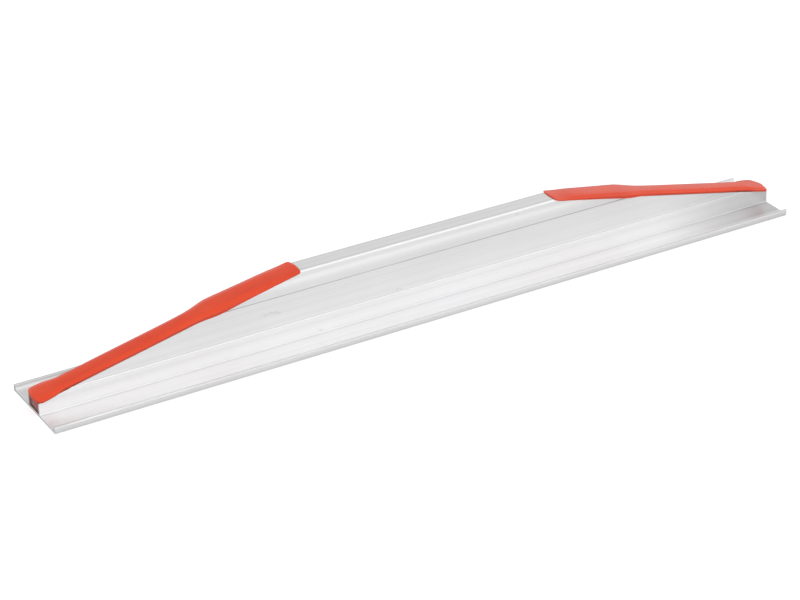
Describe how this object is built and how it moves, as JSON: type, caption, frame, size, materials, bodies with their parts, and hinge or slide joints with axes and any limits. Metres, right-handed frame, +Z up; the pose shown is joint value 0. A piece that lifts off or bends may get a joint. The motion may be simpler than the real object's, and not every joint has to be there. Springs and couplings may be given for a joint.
{
  "type": "trapezoidal plastering darby",
  "caption": "Long hand-held aluminium float with a flat lipped sole, a hollow central rib sloping down at both ends and a moulded plastic grip on each slope.",
  "frame": {"origin": "centre of the sole's underside", "axes": "+X along the length of the sole, +Y across the sole, +Z up from the working face towards the rib"},
  "size_m": [1.0042, 0.1094, 0.0897],
  "materials": {
    "mill_aluminium": "mill finish with fine lengthwise die lines, saw-cut ends",
    "grip_plastic": "satin moulded orange-red plastic"
  },
  "bodies": {
    "root": {"float_extrusion": "mill_aluminium", "grip_left": "grip_plastic", "grip_right": "grip_plastic"}
  },
  "joints": []
}
